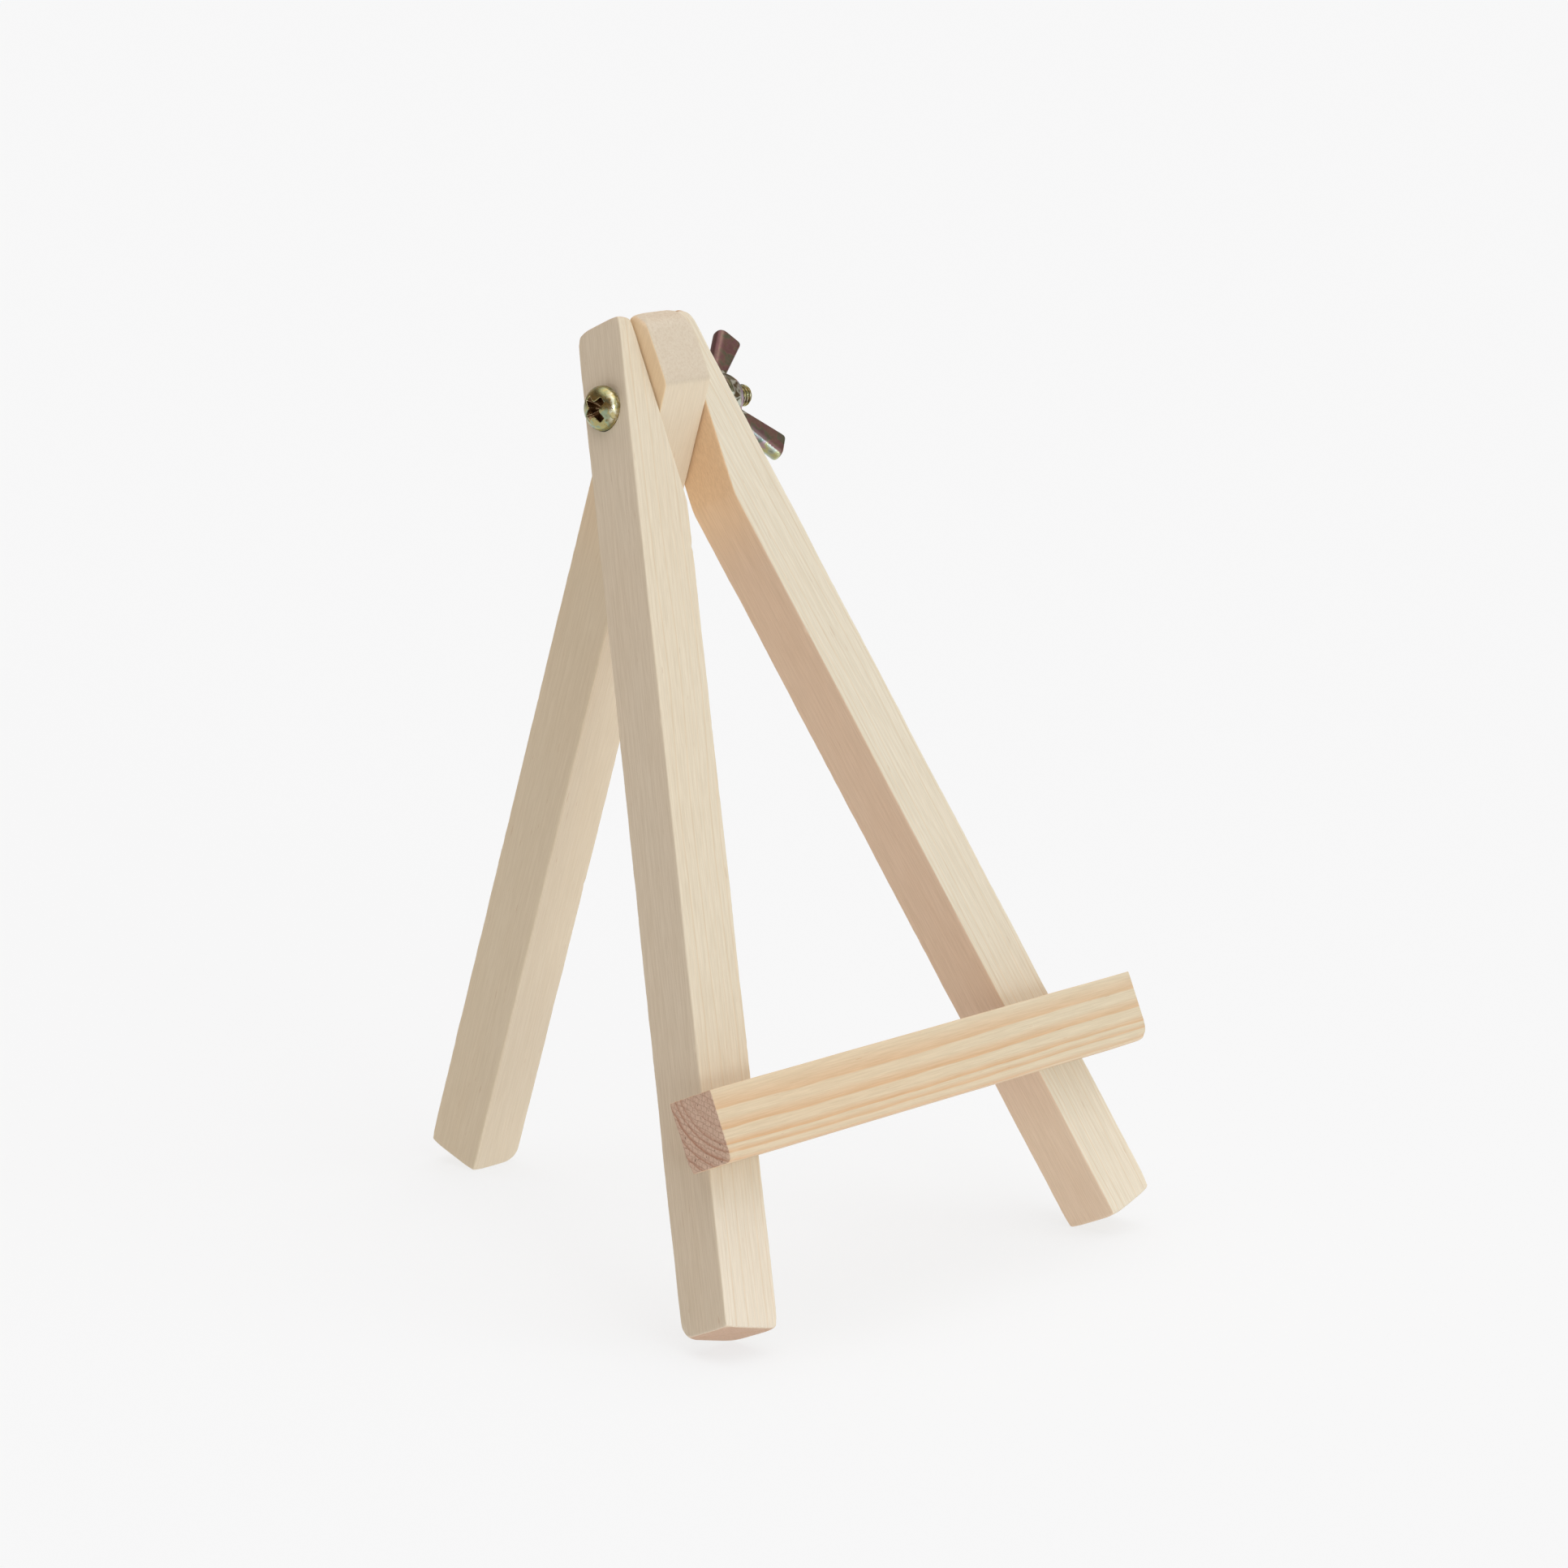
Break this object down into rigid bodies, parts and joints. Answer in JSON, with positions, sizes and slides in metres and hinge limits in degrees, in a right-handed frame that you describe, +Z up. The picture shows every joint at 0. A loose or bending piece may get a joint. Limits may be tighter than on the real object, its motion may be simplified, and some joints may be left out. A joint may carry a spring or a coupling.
{
  "type": "tabletop display easel",
  "caption": "Small wooden display easel: two splayed front legs joined by a picture ledge, and a rear leg that folds flat between them on a screw with a wing nut.",
  "frame": {"origin": "on the floor, under the middle of the outline", "axes": "+Z up; the front, with the ledge, faces -Y; +X is to the right seen from the front"},
  "size_m": [0.109, 0.1266, 0.1642],
  "materials": {
    "leg_wood": "bare planed pale wood with fine straight grain",
    "ledge_pine": "bare sawn pine with orange growth bands",
    "yellow_zinc": "yellow passivated zinc plate with iridescent tints",
    "brad_steel": "bright drawn wire"
  },
  "bodies": {
    "front_frame": {"left_front_leg": "leg_wood", "right_front_leg": "leg_wood", "ledge_bar": "ledge_pine", "left_brad": "brad_steel", "right_brad": "brad_steel", "pivot_screw": "yellow_zinc"},
    "rear_leg": {"rear_leg": "leg_wood"},
    "washer": {"flat_washer": "yellow_zinc"},
    "wing_nut": {"wing_nut": "yellow_zinc"}
  },
  "joints": [
    {"name": "rear_leg_fold", "type": "hinge", "parent": "front_frame", "child": "rear_leg", "pos_m": [-0.00027, 0.00641, 0.14805], "axis": [1, 0, 0], "range_deg": [-43, 47]},
    {"name": "nut_travel", "type": "slide", "parent": "front_frame", "child": "washer", "axis": [0.9993, 0, -0.0366], "range_m": [0, 0.0042]},
    {"name": "wing_nut_turn", "type": "hinge", "parent": "washer", "child": "wing_nut", "pos_m": [-0.00027, 0.00641, 0.14805], "axis": [0.9993, 0, -0.0366], "range_deg": [0, 2160]}
  ],
  "couplings": [
    {"joint": "wing_nut_turn", "follows": "nut_travel", "rad_per_m": 8976}
  ]
}
